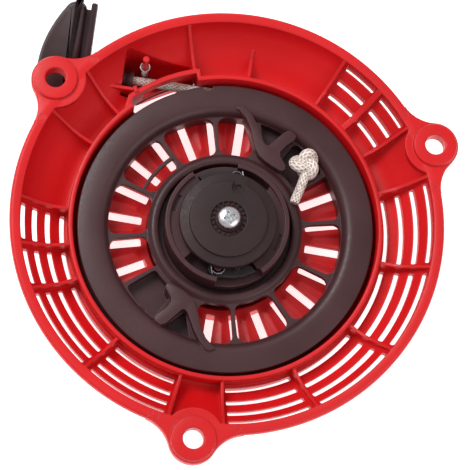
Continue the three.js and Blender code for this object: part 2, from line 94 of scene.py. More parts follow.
# The ring wall round the reel, the cup in the middle and the deck between them.
RING_IN, RING_OUT, RING_TOP = 65.3, 67.5, 33.1
CUP_R, CUP_IN, CUP_FLOOR = 35.2, 33.2, 2.4
POST_R, POST_TOP, PILOT_R, PILOT_LOW = 7, 37, 2.1, 12
DECK_LOW, DECK_TOP = 13.8, 16.0

# Where the ring wall steps out round the rope's doorway.
STEP_FROM, STEP_TO = 99.5, 126.0
STEP_IN, STEP_OUT, STEP_TOP = 69.2, 71.2, 32.4

# The rope: the radius at which it leaves the reel, its height, and the length of one repeat of its braid.
WRAP_R, ROPE_Z, CORD_PITCH = 61.0, 23.5, 2.2

# The trough round the rope, from and to a distance along it, and the round nose that it ends in.
TROUGH, TROUGH_WALL, TROUGH_FROM, TROUGH_TO = 8.7, 2.2, 22.0, 53.0
EXIT_END, EXIT_R, EXIT_BORE = 65.6, 7.9, 3.9

# The grip: half its length and height, its depth in the middle and at its ends, its flange and groove.
GRIP_FROM, GRIP_ROLL = 68.1, -20.0
GRIP_HALF, GRIP_HIGH, GRIP_DEPTH, GRIP_END_DEPTH = 30.6, 7.8, 22.3, 11.2
GRIP_FLANGE, GRIP_GROOVE = 2.6, 1.9


# ---------- shape tools, in mm ----------
def polar(r, deg):
    a = math.radians(deg)
    return (r * math.cos(a), r * math.sin(a))


def to_object(name, bm):
    mesh = bpy.data.meshes.new(name)
    bmesh.ops.recalc_face_normals(bm, faces=bm.faces)
    if bm.calc_volume(signed=True) < 0:
        bmesh.ops.reverse_faces(bm, faces=bm.faces)
    bm.to_mesh(mesh)
    bm.free()
    obj = bpy.data.objects.new(name, mesh)
    bpy.context.scene.collection.objects.link(obj)
    return obj


def lathe(profile, segments=128):
    """Turns [radius, height] points round +Z. A profile off the axis closes on itself."""
    bm = bmesh.new()
    on_axis = profile[0][0] == 0
    rings = []
    for r, z in profile:
        if r == 0:
            rings.append([bm.verts.new((0, 0, z))])
        else:
            rings.append([bm.verts.new((*polar(r, 360 * i / segments), z)) for i in range(segments)])
    pairs = list(zip(rings, rings[1:]))
    if not on_axis:
        pairs.append((rings[-1], rings[0]))
    for low, high in pairs:
        for i in range(segments):
            j = (i + 1) % segments
            quad = [low[i % len(low)], low[j % len(low)], high[j % len(high)], high[i % len(high)]]
            unique = list(dict.fromkeys(quad))
            if len(unique) > 2:
                bm.faces.new(unique)
    return to_object("turned", bm)


def prism(outline, z0, z1, top=None):
    """Extrudes an outline; top is the outline of the upper face if it differs."""
    bm = bmesh.new()
    low = [bm.verts.new((x, y, z0)) for x, y in outline]
    high = [bm.verts.new((x, y, z1)) for x, y in (top or outline)]
    bm.faces.new(list(reversed(low)))
    bm.faces.new(high)
    for i in range(len(low)):
        j = (i + 1) % len(low)
        bm.faces.new((low[i], low[j], high[j], high[i]))
    return to_object("prism", bm)


def disc(x, y, r, z0, z1, segments=40, top_r=None):
    turns = [TAU * i / segments for i in range(segments)]
    ring = [(x + r * math.cos(a), y + r * math.sin(a)) for a in turns]
    scale = (top_r or r) / r
    top = [(x + (px - x) * scale, y + (py - y) * scale) for px, py in ring]
    return prism(ring, z0, z1, top)


def rounded(half_w, half_h, radius, pitch):
    """A rounded rectangle's outline, its long edges split at the given pitch."""
    radius = max(min(radius, half_w - 0.01, half_h - 0.01), 0.01)
    points = []
    for corner, (sx, sy) in enumerate(((1, 1), (-1, 1), (-1, -1), (1, -1))):
        cx, cy = sx * (half_w - radius), sy * (half_h - radius)
        for i in range(5):
            a = TAU * (corner / 4 + i / 16)
            points.append((cx + radius * math.cos(a), cy + radius * math.sin(a)))
    full = []
    for a, b in zip(points, points[1:] + points[:1]):
        steps = max(1, int(math.dist(a, b) / pitch))
        full += [(a[0] + (b[0] - a[0]) * k / steps, a[1] + (b[1] - a[1]) * k / steps) for k in range(steps)]
    return full


def sector(r0, r1, a0, a1, z0, z1, corner=0.3, pitch=1.5):
    """A piece of a ring, with its corners rounded."""
    mid_r, mid_a = (r0 + r1) / 2, (a0 + a1) / 2
    half_w = math.radians(a1 - a0) / 2 * mid_r
    flat = rounded(half_w, (r1 - r0) / 2, corner, pitch)
    outline = [polar(mid_r + y, mid_a - math.degrees(x / mid_r)) for x, y in flat]
    return prism(outline, z0, z1)


def bar(start, end, width, z0, z1, draft=0.0):
    """A straight wall between two points, thinner at its top by the draft."""
    along = Vector(end) - Vector(start)
    side = Vector((-along.y, along.x)).normalized() * width / 2
    corners = [Vector(start) - side, Vector(end) - side, Vector(end) + side, Vector(start) + side]
    thin = side.normalized() * draft
    inward = [thin, thin, -thin, -thin]
    top = [(c + d)[:] for c, d in zip(corners, inward)]
    return prism([c[:] for c in corners], z0, z1, top)


def fin(profile, deg, half):
    """A radial wall whose side view is a list of [radius, height] points."""
    made = prism(profile, -half, half)
    turn = Matrix.Rotation(math.radians(deg), 4, "Z") @ Matrix.Rotation(math.pi / 2, 4, "X")
    made.data.transform(turn)
    return made


def turned_about(obj, matrix):
    """Moves a mesh by the matrix, and keeps its faces pointing out if the matrix mirrors it."""
    obj.data.transform(matrix)
    if matrix.to_3x3().determinant() < 0:
        obj.data.flip_normals()
    return obj


def spin(obj, deg):
    return turned_about(obj, Matrix.Rotation(math.radians(deg), 4, "Z"))


def copy_of(obj):
    new = obj.copy()
    new.data = obj.data.copy()
    bpy.context.scene.collection.objects.link(new)
    return new


def copies(obj, angles):
    made = [spin(copy_of(obj), a) for a in angles]
    bpy.data.objects.remove(obj)
    return made


def merged(objects):
    """One mesh of several solids that don't touch each other, with their UVs if they have any."""
    bm = bmesh.new()
    for obj in objects:
        bm.from_mesh(obj.data)
        bpy.data.objects.remove(obj)
    return to_object("merged", bm)


def boolean(body, tool, how):
    """Joins or cuts body with the tool, which is used up."""
    mod = body.modifiers.new("shape", "BOOLEAN")
    mod.operation = how
    mod.solver = "MANIFOLD"
    mod.object = tool
    graph = bpy.context.evaluated_depsgraph_get()
    body_eval = body.evaluated_get(graph)
    mesh = bpy.data.meshes.new_from_object(body_eval)
    body.modifiers.clear()
    body.data = mesh
    bpy.data.objects.remove(tool)
    return body


def add(body, *tools):
    for tool in tools:
        boolean(body, tool, "UNION")
    return body


def cut(body, *tools):
    for tool in tools:
        boolean(body, tool, "DIFFERENCE")
    return body


def keep(body, tool):
    return boolean(body, tool, "INTERSECT")


def on_rope(obj):
    """Places a piece made along +X from the rope's tangent point onto the line of the rope."""
    shift = Matrix.Translation((0, -WRAP_R, ROPE_Z))
    return turned_about(obj, Matrix.Rotation(math.radians(PULL_AZ), 4, "Z") @ shift)


def along_x(profile, segments=40):
    """A turned piece whose axis lies along +X."""
    made = lathe(profile, segments)
    return turned_about(made, Matrix.Rotation(math.pi / 2, 4, "Y"))


def tube(points, radius, sides, closed=False, per_span=6):
    """A round tube on a smooth curve through the points, with UVs along and round it."""
    path = smooth_path(points, closed, per_span)
    count = len(path)
    bm = bmesh.new()
    layer = bm.loops.layers.uv.new("UVMap")
    normal = None
    rings, lengths, run = [], [], 0.0
    for i, p in enumerate(path):
        ahead = path[(i + 1) % count] if closed or i + 1 < count else p
        behind = path[i - 1] if closed or i else p
        tangent = (ahead - behind).normalized()
        if normal is None:
            normal = tangent.orthogonal().normalized()
        normal = (normal - tangent * normal.dot(tangent)).normalized()
        other = tangent.cross(normal)
        angles = [TAU * k / sides for k in range(sides)]
        spokes = [normal * math.cos(a) + other * math.sin(a) for a in angles]
        rings.append([bm.verts.new(p + spoke * radius) for spoke in spokes])
        lengths.append(run)
        run += (ahead - p).length
    spans = count if closed else count - 1
    for i in range(spans):
        j = (i + 1) % count
        for k in range(sides):
            m = (k + 1) % sides
            face = bm.faces.new((rings[i][k], rings[i][m], rings[j][m], rings[j][k]))
            v0, v1 = lengths[i], lengths[j] if j else run
            for loop, uv in zip(face.loops, ((k, v0), (k + 1, v0), (k + 1, v1), (k, v1))):
                loop[layer].uv = (uv[0] / sides, uv[1] / CORD_PITCH)
    if not closed:
        bm.faces.new(list(reversed(rings[0])))
        bm.faces.new(rings[-1])
    return to_object("tube", bm)


def smooth_path(points, closed, per_span):
    """A Catmull-Rom curve through the points, cut into per_span steps between each two."""
    pts = [Vector(p) for p in points]
    n = len(pts)
    out = []
    spans = n if closed else n - 1
    for i in range(spans):
        if closed:
            p0, p1, p2, p3 = (pts[(i + k) % n] for k in (-1, 0, 1, 2))
        else:
            p1, p2 = pts[i], pts[i + 1]
            p0 = pts[i - 1] if i else p1 * 2 - p2
            p3 = pts[i + 2] if i + 2 < n else p2 * 2 - p1
        for k in range(per_span):
            t = k / per_span
            out.append(0.5 * ((2 * p1) + (p2 - p0) * t + (2 * p0 - 5 * p1 + 4 * p2 - p3) * t ** 2
                              + (3 * p1 - p0 - 3 * p2 + p3) * t ** 3))
    if not closed:
        out.append(pts[-1])
    return out


def finish_piece(obj, name, body, replaced, material, crease=30.0):
    """Scales a finished mm mesh to metres and gives it its material, smooth shading and body.
    A piece that blends between two bodies has no body here."""
    obj.name = name
    obj.data.name = name
    obj.data.transform(Matrix.Scale(MM, 4))
    obj.data.materials.clear()
    obj.data.materials.append(material)
    for poly in obj.data.polygons:
        poly.use_smooth = True
        poly.material_index = 0
    obj.data.set_sharp_from_angle(angle=math.radians(crease))
    if body:
        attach(obj, body)
    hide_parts(*replaced)
    return obj


# ---------- materials ----------
class Nodes:
    """A material's node tree, with short calls for the nodes used here."""

    def __init__(self, name, **sockets):
        self.material = bpy.data.materials.new(name)
        self.material.use_nodes = True
        self.tree = self.material.node_tree
        self.shader = self.tree.nodes["Principled BSDF"]
        for key, value in sockets.items():
            self.shader.inputs[key.replace("_", " ")].default_value = value

    def node(self, kind, **values):
        made = self.tree.nodes.new("ShaderNode" + kind)
        for key, value in values.items():
            if key in made.inputs:
                made.inputs[key].default_value = value
            elif key.replace("_", " ") in made.inputs:
                made.inputs[key.replace("_", " ")].default_value = value
            else:
                setattr(made, key, value)
        return made

    def link(self, a, b):
        self.tree.links.new(a, b)

    def noise(self, scale, detail=3.0, stretch=None):
        coords = self.node("TexCoord")
        made = self.node("TexNoise", Scale=scale, Detail=detail)
        if stretch:
            mapping = self.node("Mapping", Scale=stretch)
            self.link(coords.outputs["Object"], mapping.inputs["Vector"])
            self.link(mapping.outputs["Vector"], made.inputs["Vector"])
        else:
            self.link(coords.outputs["Object"], made.inputs["Vector"])
        return made.outputs["Fac"]

    def spread(self, value, low, high, from_low=0.3, from_high=0.7):
        made = self.node("MapRange")
        self.link(value, made.inputs["Value"])
        limits = {"From Min": from_low, "From Max": from_high, "To Min": low, "To Max": high}
        for key, number in limits.items():
            made.inputs[key].default_value = number
        return made.outputs["Result"]

    def colours(self, value, dark, light, low=0.3, high=0.7):
        made = self.node("ValToRGB")
        made.color_ramp.elements[0].position = low
        made.color_ramp.elements[0].color = (*dark, 1)
        made.color_ramp.elements[1].position = high
        made.color_ramp.elements[1].color = (*light, 1)
        self.link(value, made.inputs["Fac"])
        return made.outputs["Color"]

    def bump(self, height, strength, distance, under=None):
        made = self.node("Bump", Strength=strength, Distance=distance)
        self.link(height, made.inputs["Height"])
        if under:
            self.link(under, made.inputs["Normal"])
        return made.outputs["Normal"]

    def soft_edges(self, radius):
        return self.node("Bevel", samples=4, Radius=radius).outputs["Normal"]

    def painted_edge_highlight(self, radius, strength=1.0):
        """A painted edge highlight: 0 on flats and up to the strength on edges, where a bevelled normal leans
        from the real one.
        """
        geometry = self.node("NewGeometry")
        bevel = self.node("Bevel", samples=4, Radius=radius)
        dot = self.node("VectorMath", operation="DOT_PRODUCT")
        self.link(geometry.outputs["Normal"], dot.inputs[0])
        self.link(bevel.outputs["Normal"], dot.inputs[1])
        return self.spread(dot.outputs["Value"], strength, 0.0, 0.82, 0.995)


def moulded_red():
    n = Nodes("case_red", Roughness=0.4, IOR=1.46, Specular_IOR_Level=0.4,
              Subsurface_Weight=0.06, Subsurface_Scale=0.002)
    n.shader.inputs["Subsurface Radius"].default_value = (1.0, 0.15, 0.1)
    broad = n.noise(22.0, 3.0)
    base = n.colours(broad, (0.58, 0.004, 0.006), (0.68, 0.008, 0.011))
    # Edges are mixed towards a pale red: a painted highlight along the edges.
    edge_highlight = n.painted_edge_highlight(0.0006, 0.5)
    mix = n.node("Mix", data_type="RGBA", blend_type="MIX")
    n.link(edge_highlight, mix.inputs[0])
    n.link(base, mix.inputs[6])
    mix.inputs[7].default_value = (0.80, 0.10, 0.11, 1)
    n.link(mix.outputs[2], n.shader.inputs["Base Color"])
    fine = n.noise(900.0, 2.0)
    n.link(n.spread(fine, 0.33, 0.47), n.shader.inputs["Roughness"])
    flow = n.noise(120.0, 4.0)
    normal = n.bump(flow, 0.12, 0.0004, n.soft_edges(0.0009))
    n.link(n.bump(fine, 0.05, 0.0001, normal), n.shader.inputs["Normal"])
    return n.material


# How many times lighter the painted edge highlights of the black plastics are.
EDGE_HIGHLIGHT_LIFT = 4.5


def moulded_black(name, dark, light, rough, edge_radius=0.0005, grain=700.0):
    n = Nodes(name, IOR=1.46, Specular_IOR_Level=0.38)
    broad = n.noise(40.0, 4.0)
    base = n.colours(broad, dark, light)
    # Edges are mixed towards a lighter black: a painted highlight along the edges.
    edge_highlight = n.painted_edge_highlight(edge_radius, 0.35)
    mix = n.node("Mix", data_type="RGBA")
    n.link(edge_highlight, mix.inputs[0])
    n.link(base, mix.inputs[6])
    mix.inputs[7].default_value = (*[c * EDGE_HIGHLIGHT_LIFT for c in light], 1)
    n.link(mix.outputs[2], n.shader.inputs["Base Color"])
    fine = n.noise(grain, 3.0)
    n.link(n.spread(fine, rough - 0.06, rough + 0.08), n.shader.inputs["Roughness"])
    normal = n.bump(broad, 0.1, 0.0003, n.soft_edges(edge_radius))
    n.link(n.bump(fine, 0.10, 0.0001, normal), n.shader.inputs["Normal"])
    return n.material


def metal(name, colour, rough, streak=(1.0, 1.0, 1.0), scale=600.0):
    n = Nodes(name, Metallic=1.0)
    grain = n.noise(scale, 5.0, streak)
    n.link(n.colours(grain, [c * 0.72 for c in colour], colour), n.shader.inputs["Base Color"])
    n.link(n.spread(grain, rough - 0.08, rough + 0.12), n.shader.inputs["Roughness"])
    n.link(n.bump(grain, 0.15, 0.0001, n.soft_edges(0.0002)), n.shader.inputs["Normal"])
    return n.material


STRANDS = 8.0


def braided_cord():
    """Two sets of strands that cross, in UVs that run round and along the cord."""
    n = Nodes("cord", Roughness=0.85, Sheen_Weight=0.3, Sheen_Roughness=0.5)
    coords = n.node("UVMap")
    heights = []
    for lean in (1.0, -1.0):
        split = n.node("SeparateXYZ")
        n.link(coords.outputs["UV"], split.inputs[0])
        turn = n.node("Math", operation="MULTIPLY_ADD")
        n.link(split.outputs["X"], turn.inputs[0])
        turn.inputs[1].default_value = STRANDS * lean
        n.link(split.outputs["Y"], turn.inputs[2])
        wave = n.node("Math", operation="MULTIPLY")
        n.link(turn.outputs[0], wave.inputs[0])
        wave.inputs[1].default_value = TAU
        sine = n.node("Math", operation="SINE")
        n.link(wave.outputs[0], sine.inputs[0])
        heights.append(sine.outputs[0])
    top = n.node("Math", operation="MAXIMUM")
    n.link(heights[0], top.inputs[0])
    n.link(heights[1], top.inputs[1])
    fleck = n.noise(520.0, 4.0)
    base = n.colours(fleck, (0.66, 0.52, 0.47), (0.95, 0.88, 0.82), 0.34, 0.5)
    # The hollows between crossing strands are darkened: painted shade.
    painted_strand_shade = n.node("Mix", data_type="RGBA", blend_type="MULTIPLY")
    painted_strand_shade.inputs[0].default_value = 1.0
    n.link(base, painted_strand_shade.inputs[6])
    n.link(n.colours(top.outputs[0], (0.62, 0.50, 0.45), (1.0, 1.0, 1.0), 0.0, 0.7), painted_strand_shade.inputs[7])
    n.link(painted_strand_shade.outputs[2], n.shader.inputs["Base Color"])
    fibres = n.noise(3500.0, 2.0)
    normal = n.bump(top.outputs[0], 0.6, 0.0004)
    n.link(n.bump(fibres, 0.25, 0.0001, normal), n.shader.inputs["Normal"])
    return n.material


RED = moulded_red()
BLACK = moulded_black("reel_black", (0.046, 0.016, 0.018), (0.066, 0.026, 0.029), 0.38)
HUB_BLACK = moulded_black("guide_black", (0.016, 0.006, 0.006), (0.034, 0.013, 0.014), 0.5)
GRIP_BLACK = moulded_black("grip_black", (0.030, 0.014, 0.015), (0.048, 0.024, 0.026), 0.36, 0.0008, 420.0)
PAWL_GREY = moulded_black("pawl_grey", (0.014, 0.011, 0.011), (0.030, 0.024, 0.024), 0.45)
ZINC = metal("zinc_screw", (0.78, 0.78, 0.80), 0.26, scale=900.0)
TUBE_STEEL = metal("steel_tube", (0.80, 0.80, 0.82), 0.2, (1.0, 1.0, 0.08))
SPRING_STEEL = metal("spring_steel", (0.33, 0.34, 0.37), 0.34, (1.0, 1.0, 6.0))
CORD = braided_cord()


# ---------- case ----------
OUTSIDE = [[0, 0], [CUP_R - 2.2, 0], [CUP_R - 1.0, 0.35], [CUP_R - 0.25, 1.1], [CUP_R, 2.2], [CUP_R, 11.6],
           [CUP_R + 0.5, 13.0], [CUP_R + 2, DECK_LOW], [60, DECK_LOW], [63.4, 14.1], [66.4, 15.3],
           [68.6, 17.2], [70.2, 19.6], [71.9, 21.6], [78, 25.6], [83.8, 32], [89.2, 39.4], [90.3, 40.6],
           [91.4, 41], [FLANGE_R, 41.6], [FLANGE_R, 43.1], [FLANGE_R - 0.35, 44.0],
           [FLANGE_R - 1.2, FLANGE_TOP]]
DISH = [[FLANGE_IN + 0.5, FLANGE_TOP], [FLANGE_IN + 0.1, 44.3], [FLANGE_IN, 43.9], [86.8, 41.2], [84.3, 37.6],
        [81.6, 34], [78.8, 30.8], [76.1, 28.2], [73.6, 26.2], [71.3, 24.9], [68.8, 24.2],
        [RING_OUT + 0.1, 24.4]]
INSIDE = [*DISH, [RING_OUT, 25], [RING_OUT, RING_TOP - 0.9], [RING_OUT - 0.3, RING_TOP - 0.2],
          [RING_OUT - 0.9, RING_TOP], [RING_IN + 0.9, RING_TOP], [RING_IN + 0.3, RING_TOP - 0.2],
          [RING_IN, RING_TOP - 0.9], [RING_IN, 17.8], [64.7, 16.7], [63.3, DECK_TOP],
          [CUP_IN + 0.4, DECK_TOP], [CUP_IN, DECK_TOP - 0.4], [CUP_IN, CUP_FLOOR], [POST_R, CUP_FLOOR],
          [POST_R, POST_TOP], [PILOT_R, POST_TOP], [PILOT_R, PILOT_LOW], [0, PILOT_LOW]]
BAY = 26.25
VENT_ROWS = ((86.5, 0.85), (81.6, 1.0), (76.1, 1.0), (70.0, 0.95))
VENT_LOW, VENT_HIGH, VENT_END = 15, 46, 1.5
LAST_BAYS = [268 + BAY * k for k in range(4)]
VENT_BAYS = [(28, 41, 3), (41, 54.25, 3), (174.25, 187.4, 4), (187.4, 200.5, 4), (200.5, 226.75, 4),
             (226.75, 253, 4), *[(start, start + BAY, 4) for start in LAST_BAYS]]
RIB_AZ = (13, 28, 54.25, 100.6, 133, 148, 174.25, 187.4, 200.5, 226.75, 253, *LAST_BAYS)
RIB_HALF, WIDE_RIB_HALF, LOW_RIB_HALF = 0.62, 1.25, 0.6
RADIAL_FIRST, RADIAL_PITCH, RADIAL_COUNT = 5.75, 15.0, 24


def ear_outline():
    """A bolt ear on +X, blended into the flange by a fillet on each side."""
    far, near = FLANGE_R + EAR_FILLET, EAR_R + EAR_FILLET
    x = (far ** 2 - near ** 2 + BOLT_R ** 2) / (2 * BOLT_R)
    y = math.sqrt(far ** 2 - x ** 2)
    start, turn = math.atan2(y, x), math.atan2(y, x - BOLT_R)

    def arc(cx, cy, r, a0, a1, steps):
        return [(cx + r * math.cos(a0 + (a1 - a0) * i / steps), cy + r * math.sin(a0 + (a1 - a0) * i / steps))
                for i in range(steps + 1)]

    points = arc(0, 0, FLANGE_IN + 1.5, start, -start, 18)
    points += arc(x, -y, EAR_FILLET, math.pi - start, math.pi - turn, 14)
    points += arc(BOLT_R, 0, EAR_R, -turn, turn, 30)
    points += arc(x, y, EAR_FILLET, math.pi + turn, math.pi + start, 14)
    return list(reversed(points))


def rounded_top(outline, z0, z1, radius):
    """A prism whose upper edge is rounded."""
    bm = bmesh.new()
    n = len(outline)
    normals = []
    for i in range(n):
        a, b = Vector(outline[i - 1]), Vector(outline[(i + 1) % n])
        t = (b - a).normalized()
        normals.append(Vector((t.y, -t.x)))
    following = outline[1:] + outline[:1]
    area = sum(p[0] * q[1] - q[0] * p[1] for p, q in zip(outline, following))
    sign = 1 if area > 0 else -1
    levels = [(0, z0), (0, z1 - radius)] + [(radius * (1 - math.cos(a)), z1 - radius + radius * math.sin(a))
                                            for a in (math.radians(d) for d in (30, 60, 90))]
    rings = []
    for inset, z in levels:
        rings.append([bm.verts.new((outline[i][0] - sign * normals[i].x * inset,
                                    outline[i][1] - sign * normals[i].y * inset, z)) for i in range(n)])
    bm.faces.new(list(reversed(rings[0])))
    bm.faces.new(rings[-1])
    for low, high in zip(rings, rings[1:]):
        for i in range(n):
            j = (i + 1) % n
            bm.faces.new((low[i], low[j], high[j], high[i]))
    return to_object("plate", bm)


def ear():
    body = rounded_top(ear_outline(), EAR_LOW, FLANGE_TOP, 0.9)
    seat = lathe([[0, EAR_LOW], [9.6, EAR_LOW], [9.6, 44.6], [9.4, EAR_TOP - 0.5], [9.1, EAR_TOP - 0.12],
                  [8.6, EAR_TOP], [0, EAR_TOP]], 64)
    seat.data.transform(Matrix.Translation((BOLT_R, 0, 0)))
    under = FLANGE_TOP - 0.1
    bulge = lathe([[0, 30], [11.2, 30], [11.6, 36], [12.6, 43], [12.9, under], [0, under]], 64)
    bulge.data.transform(Matrix.Translation((BOLT_R, 0, 0)))
    keep(bulge, lathe([*OUTSIDE, [0, FLANGE_TOP]], 192))
    return add(body, seat, bulge)


def ribs():
    tall = [(RING_OUT - 0.6, 15), (90, 15), (90, FLANGE_TOP - 0.5), (FLANGE_IN - 0.2, FLANGE_TOP - 0.9),
            (82, 38.6), (77, 34.2), (73, 32.4), (RING_OUT - 0.6, 31.6)]
    low = [(RING_OUT - 0.6, 15), (80, 15), (80, 33), (76, 29.8), (RING_OUT - 0.6, 31.9)]
    made = [fin(tall, a, RIB_HALF) for a in RIB_AZ]
    made += [fin(tall, 41, WIDE_RIB_HALF), fin(low, 81, LOW_RIB_HALF)]
    return keep(merged(made), lathe([*OUTSIDE, [0, FLANGE_TOP]], 192))


def vents():
    made = []
    for start, end, rows in VENT_BAYS:
        for r, half in VENT_ROWS[:rows]:
            slot = sector(r - half, r + half, start + VENT_END, end - VENT_END, VENT_LOW, VENT_HIGH, 0.5)
            made.append(slot)
    return merged(made)


def radial_slots():
    slot = prism([(47.95 + x, y) for x, y in rounded(12.05, 1.85, 0.6, 3.0)], 10, 20)
    return merged(copies(slot, [RADIAL_FIRST + RADIAL_PITCH * i for i in range(RADIAL_COUNT)]))


def radial_ridges():
    """The wedge between two slots rises to a low crest down its middle."""
    bm = bmesh.new()
    inner, outer, base, crest = 37.2, 60.5, DECK_TOP - 0.3, DECK_TOP + 1.0
    wide_in, wide_out = 2.2, 5.0
    foot = ((inner, -wide_in), (outer, -wide_out), (outer, wide_out), (inner, wide_in))
    low = [bm.verts.new((x, y, base)) for x, y in foot]
    top = [bm.verts.new(p) for p in ((inner + 2.5, 0, crest), (outer, 0, crest + 0.2))]
    bm.faces.new(list(reversed(low)))
    bm.faces.new((low[0], low[1], top[1], top[0]))
    bm.faces.new((low[2], low[3], top[0], top[1]))
    bm.faces.new((low[1], low[2], top[1]))
    bm.faces.new((low[3], low[0], top[0]))
    ridge = to_object("ridge", bm)
    return copies(ridge, [RADIAL_FIRST + RADIAL_PITCH * (i + 0.5) for i in range(RADIAL_COUNT)])


def channel(r, s0, s1, high):
    """A solid along the rope's line, round below and straight-sided above."""
    made = along_x([[0, s0], [r, s0], [r, s1], [0, s1]], 64)
    block = prism([(s0, -r), (s1, -r), (s1, r), (s0, r)], 0, high)
    return on_rope(add(made, block))


def rope_exit(body):
    """The trough that the rope runs through, its nose past the flange, and the bore in that."""
    air = lathe([[RING_OUT, 60], [RING_OUT, 23], [71.5, 24.2], [76.1, 27.4], [81.6, 33.2], [86.8, 40.4],
                 [FLANGE_IN, FLANGE_TOP - 1], [FLANGE_IN, 60]], 128)
    shell = channel(TROUGH + TROUGH_WALL, TROUGH_FROM, TROUGH_TO + TROUGH_WALL, 41.4 - ROPE_Z)
    cut(shell, disc(0, 0, RING_OUT - 0.5, 0, 60, 128), air)
    outer = along_x([[0, TROUGH_TO], [EXIT_R, TROUGH_TO], [EXIT_R, EXIT_END - 1.2],
                     [EXIT_R - 0.4, EXIT_END - 0.4], [EXIT_R - 1.2, EXIT_END], [0, EXIT_END]], 48)
    add(body, shell, on_rope(outer))
    hollow = channel(TROUGH, TROUGH_FROM + TROUGH_WALL, TROUGH_TO, 90)
    keep(hollow, disc(0, 0, FLANGE_IN - 0.8, 0, 60, 128))
    cut(hollow, disc(0, 0, STEP_OUT, 0, 60, 128))
    bore_from, bore_to = TROUGH_TO - 4, EXIT_END + 1
    bore = along_x([[0, bore_from], [EXIT_BORE, bore_from], [EXIT_BORE, bore_to], [0, bore_to]], 40)
    return cut(body, hollow, on_rope(bore))


def rope_doorway(body):
    cut(body, sector(RING_IN - 1.5, STEP_IN, STEP_FROM + 0.6, STEP_TO + 1, 17.6, 46, 0.3))
    wall = sector(STEP_IN, STEP_OUT, STEP_FROM, STEP_TO, 17, STEP_TOP, 0.4)
    first = bar(polar(RING_IN + 0.4, STEP_FROM), polar(STEP_OUT - 0.3, STEP_FROM), 1.6, 17, STEP_TOP + 0.02)
    last = bar(polar(RING_IN + 1, STEP_TO + 4), polar(STEP_OUT - 0.8, STEP_TO - 0.6), 2, 17, STEP_TOP + 0.04)
    tip = bar(polar(STEP_OUT - 1, STEP_TO - 3), (-39.2, 61.4), 1.6, 17, STEP_TOP + 1)
    web = bar((-38.8, 60.6), (-49.6, 62.2), 1.3, 20, STEP_TOP - 1)
    peg = disc(-34.5, 70.9, 1.5, 15, 41.2, 28, 1.35)
    add(body, wall, first, last, tip, web, peg)
    door = sector(STEP_IN - 1, STEP_OUT + 0.6, 106.5, 120.5, ROPE_Z - 3.4, ROPE_Z + 3.6, 1.0)
    slot = sector(66.2, 68.8, 107, STEP_TO - 0.6, 10, 30, 0.6)
    relief = on_rope(along_x([[0, 8], [2.3, 8], [2.3, 40], [0, 40]], 32))
    return cut(body, door, slot, relief)


MARK_IN, MARK_OUT = 1.25, 1.55


def pin_marks(body):
    """The round marks that the mould's ejector pins leave on the rim."""
    marks = []
    mark_low = FLANGE_TOP - 0.18
    for az, r in ((31.5, 89.6), (9.5, 89.6), (129.5, 89.7), (151.5, 89.7), (249.5, 89.6), (271.5, 89.6)):
        x, y = polar(r, az)
        mark = lathe([[MARK_IN, mark_low], [MARK_OUT, mark_low], [MARK_OUT, 45.5], [MARK_IN, 45.5]], 28)
        mark.data.transform(Matrix.Translation((x, y, 0)))
        marks.append(mark)
    return cut(body, merged(marks))


def build_case():
    body = lathe([*OUTSIDE, *INSIDE], 192)
    add(body, ribs())
    for ridge in radial_ridges():
        add(body, ridge)
    cut(body, vents(), radial_slots())
    rope_exit(body)
    rope_doorway(body)
    for one in copies(ear(), EAR_AZ):
        add(body, one)
    hole = lathe([[0, 20], [HOLE_R, 20], [HOLE_R, EAR_TOP - 0.35], [HOLE_R + 0.4, EAR_TOP + 0.05],
                  [HOLE_R + 0.4, 60], [0, 60]], 48)
    hole.data.transform(Matrix.Translation((BOLT_R, 0, 0)))
    for one in copies(hole, EAR_AZ):
        cut(body, one)
    pin_marks(body)
    return finish_piece(body, "case_moulding", "case", ["case_shell"], RED)


# ---------- reel ----------
DRUM_IN, DRUM_OUT, WEB_TOP, WEB_LOW, RIM_TOP = 50.3, 52.0, 26.0, 22.6, 30.0
HUB_R, HUB_IN, HUB_TOP, HUB_RIM = 26.5, 24.4, 36.4, 38.0
WELL_R, WELL_FLOOR = 13.0, 30.0
REEL_PROFILE = [[7.3, REEL_LOW], [9.4, REEL_LOW], [9.4, 18.4], [27.6, 18.4], [29.6, 20.6], [32, WEB_LOW],
                [DRUM_IN, WEB_LOW], [DRUM_IN, 17.7], [REEL_R - 0.4, 17.7], [REEL_R, 18.1], [REEL_R, 19.1],
                [REEL_R - 0.4, 19.4], [DRUM_OUT, 19.4], [DRUM_OUT, 27.6], [REEL_R - 0.4, 27.6], [REEL_R, 28],
                [REEL_R, RIM_TOP - 0.7], [REEL_R - 0.25, RIM_TOP - 0.2], [REEL_R - 0.8, RIM_TOP],
                [55, RIM_TOP - 0.05], [53.6, RIM_TOP - 0.15], [52.5, RIM_TOP - 0.6], [51.6, 28.7],
                [50.9, 27.6], [DRUM_IN, WEB_TOP], [33.4, WEB_TOP], [32.6, 26.5], [31.8, 27.4], [31.2, 27.7],
                [29.6, 27.7], [28.9, 27.3], [28.6, 26.6], [28.6, 21.6], [HUB_R, 21.6],
                [HUB_R, HUB_RIM - 0.3], [HUB_R - 0.3, HUB_RIM], [HUB_IN + 0.2, HUB_RIM],
                [HUB_IN, HUB_RIM - 0.3], [HUB_IN, HUB_TOP], [9.8, HUB_TOP], [9.8, 34], [7.3, 34]]


WINDOW_COUNT, WINDOW_PITCH, WINDOW_FIRST, WINDOW_HALF = 12, 30, 19.5, 13.9
WINDOW_IN, WINDOW_OUT, WINDOW_CORNER = 33.3, 50.2, 3.6
CLOSED, SHORTENED, SHORTER_BY = (1, 7), (2, 8), 5.5


def reel_windows():
    """The openings between the spokes. Two places are closed, and the next place to each is shorter."""
    made = []
    for place in range(WINDOW_COUNT):
        if place in CLOSED:
            continue
        middle = WINDOW_FIRST + WINDOW_PITCH * place
        start = middle - WINDOW_HALF + (SHORTER_BY if place in SHORTENED else 0)
        made.append(sector(WINDOW_IN, WINDOW_OUT, start, middle + WINDOW_HALF, 15, 40, WINDOW_CORNER))
    return merged(made)


